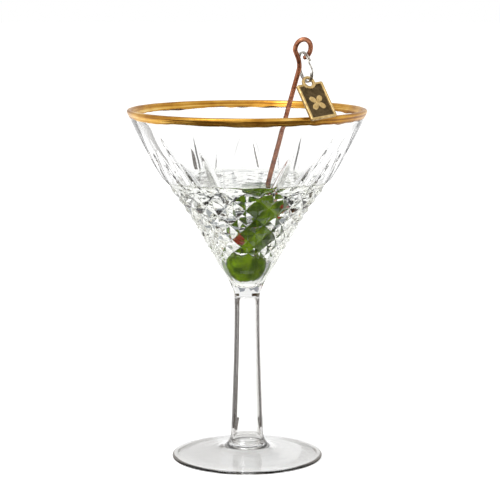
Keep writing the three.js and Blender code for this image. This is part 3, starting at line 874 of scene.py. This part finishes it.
def make_charm(material):
    columns, rows = 112, 140
    half, bottom = CHARM_WIDTH / 2, -EYE_RISE - CHARM_LENGTH
    x = half * np.sin(np.linspace(-1, 1, columns) * 1.25) / math.sin(1.25)
    notch = np.sqrt(np.clip(EYE_HOLE_RADIUS**2 - x**2, 0, None))
    top = np.minimum(-EYE_RISE, -notch)
    share = np.sin(np.linspace(-1, 1, rows) * 1.3) / math.sin(1.3) / 2 + 0.5
    grid_y = bottom + share[:, None] * (top - bottom)[None, :]
    grid_x = np.repeat(x[None, :], rows, 0)
    corner_x = half - CHARM_CORNER
    corner_y = np.where(grid_y > bottom + CHARM_LENGTH / 2, -EYE_RISE - CHARM_CORNER, bottom + CHARM_CORNER)
    out_x, out_y = np.abs(grid_x) - corner_x, np.abs(grid_y - corner_y)
    beyond = np.where(grid_y > bottom + CHARM_LENGTH / 2, grid_y > corner_y, grid_y < corner_y) & (out_x > 0)
    shrink = np.where(beyond, np.maximum(out_x, out_y) / np.maximum(np.hypot(out_x, out_y), 1e-9), 1.0)
    flat_x = np.where(beyond, np.sign(grid_x) * (corner_x + out_x * shrink), grid_x)
    flat_y = np.where(beyond, corner_y + (grid_y - corner_y) * shrink, grid_y)
    front = np.stack([flat_x, flat_y, plate_relief(grid_x, grid_y)], 2).reshape(-1, 3)
    back = front.copy()
    rim = np.minimum(np.minimum(half - np.abs(grid_x), grid_y - bottom), -EYE_RISE - grid_y).reshape(-1)
    back[:, 2] = -CHARM_THICKNESS / 2 + 0.2 * (1 - np.clip(rim / 0.35, 0, 1)) ** 2
    faces = []
    count = rows * columns
    for i in range(rows - 1):
        for j in range(columns - 1):
            a = i * columns + j
            b, c, d = a + 1, a + columns + 1, a + columns
            faces.append((a, b, c, d))
            faces.append((a + count, d + count, c + count, b + count))
    border = list(range(columns)) + [i * columns + columns - 1 for i in range(1, rows)]
    border += [(rows - 1) * columns + j for j in range(columns - 2, -1, -1)]
    border += [i * columns for i in range(rows - 2, 0, -1)]
    for a, b in zip(border, border[1:] + border[:1]):
        faces.append((b, a, a + count, b + count))
    plate = add_object("charm_plate", charm_to_world(np.vstack([front, back])), faces, material, sharp_deg=60)
    field = CHARM_THICKNESS / 2 - CHARM_FIELD_DEPTH
    mark_raised(plate, np.concatenate([np.clip((front[:, 2] - field) / 0.45, 0, 1), np.full(count, 0.5)]))
    place(plate, "charm", "antique_brass", "charm")

    middle = (EYE_OUTER_RADIUS + EYE_HOLE_RADIUS) / 2
    half_width = (EYE_OUTER_RADIUS - EYE_HOLE_RADIUS) / 2
    section = np.linspace(0, 2 * math.pi, EYE_SECTION, endpoint=False)
    radial = middle + half_width * np.sign(np.cos(section)) * np.abs(np.cos(section)) ** 0.6
    level = 0.93 * CHARM_THICKNESS / 2 * np.sign(np.sin(section)) * np.abs(np.sin(section)) ** 0.6
    turn = np.arange(EYE_SEGMENTS) * 2 * math.pi / EYE_SEGMENTS
    rings = np.stack([radial[:, None] * np.cos(turn), radial[:, None] * np.sin(turn),
                      np.repeat(level[:, None], EYE_SEGMENTS, 1)], 2).reshape(-1, 3)
    faces = ring_faces(EYE_SECTION, EYE_SEGMENTS, closed=True)
    eye = add_object("charm_eye", charm_to_world(rings), faces, material, sharp_deg=60)
    mark_raised(eye, np.repeat(0.55 + 0.45 * np.abs(np.sin(section)), EYE_SEGMENTS))
    place(eye, "charm", "antique_brass", "charm")


# ------------------------------------------------------------------ stage, light and camera

CAMERA_PLACE = Vector((0.0014, -0.9235, 0.2423))
CAMERA_PITCH = math.radians(8.656)
CAMERA_LENS = 139.72
ABOVE_FLOOR = 0.0003            # so that no two planes share a height


def make_camera():
    data = bpy.data.cameras.new("camera")
    data.lens = CAMERA_LENS
    data.sensor_width = 36
    data.clip_start = 0.01
    camera = bpy.data.objects.new("camera", data)
    bpy.context.scene.collection.objects.link(camera)
    camera.location = CAMERA_PLACE
    camera.rotation_euler = (math.pi / 2 - CAMERA_PITCH, 0, 0)
    bpy.context.scene.camera = camera
    return camera


def stage_material(name, colour, emission=0.0):
    material = bpy.data.materials.new(name)
    material.use_nodes = True
    shader = material.node_tree.nodes["Principled BSDF"]
    shader.inputs["Base Color"].default_value = (*colour, 1)
    shader.inputs["Roughness"].default_value = 0.9
    shader.inputs["Specular IOR Level"].default_value = 0.0
    if emission:
        shader.inputs["Emission Color"].default_value = (*colour, 1)
        shader.inputs["Emission Strength"].default_value = emission
    return material


def stage_plane(name, width, height, material):
    mesh = bpy.data.meshes.new(name)
    w, h = width / 2, height / 2
    mesh.from_pydata([(-w, -h, 0), (w, -h, 0), (w, h, 0), (-w, h, 0)], [], [(0, 1, 2, 3)])
    mesh.materials.append(material)
    plane = bpy.data.objects.new(name, mesh)
    bpy.context.scene.collection.objects.link(plane)
    return plane


def card_material(name, colour):
    """Dark card for what is seen through or in the glass; light that has been scattered passes through it."""
    material = bpy.data.materials.new(name)
    material.use_nodes = True
    nodes, links = material.node_tree.nodes, material.node_tree.links
    nodes.clear()
    path, dark = nodes.new("ShaderNodeLightPath"), nodes.new("ShaderNodeEmission")
    clear, mix = nodes.new("ShaderNodeBsdfTransparent"), nodes.new("ShaderNodeMixShader")
    output, scattered = nodes.new("ShaderNodeOutputMaterial"), nodes.new("ShaderNodeMath")
    scattered.operation = "GREATER_THAN"
    scattered.inputs[1].default_value = 0.5
    dark.inputs["Color"].default_value = (*colour, 1)
    links.new(path.outputs["Diffuse Depth"], scattered.inputs[0])
    links.new(scattered.outputs[0], mix.inputs[0])
    links.new(dark.outputs[0], mix.inputs[1])
    links.new(clear.outputs[0], mix.inputs[2])
    links.new(mix.outputs[0], output.inputs["Surface"])
    return material


SUBJECT = Vector((0, 0, -0.95))     # the glass, in the camera's own frame


def only_through_glass(plane):
    """The card casts no shadow and is seen neither directly nor in reflections."""
    plane.visible_camera = False
    plane.visible_diffuse = False
    plane.visible_glossy = False
    plane.visible_shadow = False


def card(name, camera, colour, angles, low, high, distance=0.55):
    """A card that spans the given angles round the glass, from straight behind it. It stays with the camera."""
    edges = [SUBJECT + distance * Vector((math.sin(math.radians(a)), 0, -math.cos(math.radians(a)))) for a in angles]
    corners = [(e.x, y, e.z) for y, e in ((low, edges[0]), (low, edges[1]), (high, edges[1]), (high, edges[0]))]
    hang_card(name, camera, colour, corners)


def hang_card(name, camera, colour, corners):
    """A card with its corners in the camera's own frame."""
    mesh = bpy.data.meshes.new(name)
    mesh.from_pydata(corners, [], [(0, 1, 2, 3)])
    mesh.materials.append(card_material(name, colour))
    plane = bpy.data.objects.new(name, mesh)
    bpy.context.scene.collection.objects.link(plane)
    only_through_glass(plane)
    plane.parent = camera


def floor_card(name, camera, colour, x_range, y_range):
    """A card that lies just above the floor behind the glass, in the main view."""
    to_camera = Matrix.LocRotScale(camera.location, camera.rotation_euler, None).inverted()
    outline = ((0, 0), (1, 0), (1, 1), (0, 1))
    hang_card(name, camera, colour, [to_camera @ Vector((x_range[i], y_range[j], ABOVE_FLOOR)) for i, j in outline])


def area_light(name, where, aim, size, power, colour=(1, 1, 1), parent=None):
    data = bpy.data.lights.new(name, "AREA")
    data.shape = "RECTANGLE"
    data.size, data.size_y = size
    data.energy = power
    data.color = colour
    lamp = bpy.data.objects.new(name, data)
    bpy.context.scene.collection.objects.link(lamp)
    lamp.location = where
    lamp.rotation_mode = "QUATERNION"
    lamp.rotation_quaternion = (Vector(aim) - Vector(where)).to_track_quat("-Z", "Y")
    if parent:
        lamp.parent = parent
    return lamp


def make_stage(camera):
    floor = stage_plane("floor", 12, 12, stage_material("floor", (0.93, 0.93, 0.93), 0.22))
    floor.location.z = -0.00002
    world = bpy.data.worlds.new("studio")
    bpy.context.scene.world = world
    world.use_nodes = True
    background = world.node_tree.nodes["Background"]
    background.inputs["Color"].default_value = (1, 1, 1, 1)
    background.inputs["Strength"].default_value = 1.0
    dark, brown, warm = (0.09, 0.072, 0.060), (0.060, 0.038, 0.026), (0.40, 0.34, 0.29)
    card("flag_left", camera, dark, (-14, -62), -0.22, 0.05)
    card("flag_right", camera, dark, (22, 62), -0.22, 0.05)
    card("low_flag_left", camera, brown, (-17, -72), -0.097, -0.003, 0.06)
    card("low_flag_right", camera, brown, (28, 66), -0.097, -0.003, 0.06)
    floor_card("floor_flag_left", camera, brown, (-0.08, -0.012), (0.041, 0.078))
    floor_card("floor_flag_right", camera, brown, (0.02, 0.08), (0.041, 0.078))
    card("side_left", camera, warm, (-62, -112), -0.22, 0.3)
    card("side_right", camera, warm, (62, 112), -0.22, 0.3)
    card("cool_card", camera, (0.34, 0.36, 0.39), (-45, 22), 0.18, 0.42)
    # dark only where the bowl's outer wall reflects the floor in front of it
    front_floor = stage_plane("front_floor", 0.5, 0.3, card_material("front_floor", (0.12, 0.10, 0.08)))
    front_floor.location = (0, -0.12, 0.00001)
    only_through_glass(front_floor)
    front_floor.visible_glossy = True
    front_floor.visible_transmission = False
    sun = bpy.data.lights.new("sun", "SUN")
    sun.energy = 0.35
    sun.angle = math.radians(35)
    lamp = bpy.data.objects.new("sun", sun)
    bpy.context.scene.collection.objects.link(lamp)
    lamp.rotation_euler = (math.radians(18), math.radians(-14), 0)
    area_light("front_box", (-0.55, 0.5, -0.1), SUBJECT, (0.35, 0.5), 4, parent=camera)


# ------------------------------------------------------------------ build

camera = make_camera()
make_stage(camera)
make_bowl(cut_glass_material(), wetted_glass_material())
make_stem(stem_glass_material())
make_foot(drawn_glass_material())
make_gilding(gilding_material())
make_drink(drink_material(), drink_side_material())
make_pick(copper_material())
olive_green, pimento_red = olive_material(), pimento_material()
for number, place_on_pick in enumerate(OLIVES):
    make_olive(place_on_pick, 2.0 + 3 * number, olive_green, pimento_red)

make_split_ring(ring_material())
make_charm(charm_material())

scene = bpy.context.scene
scene.view_settings.view_transform = "Standard"
scene.cycles.max_bounces = 32
scene.cycles.transmission_bounces = 32
scene.cycles.glossy_bounces = 8
scene.cycles.transparent_max_bounces = 16
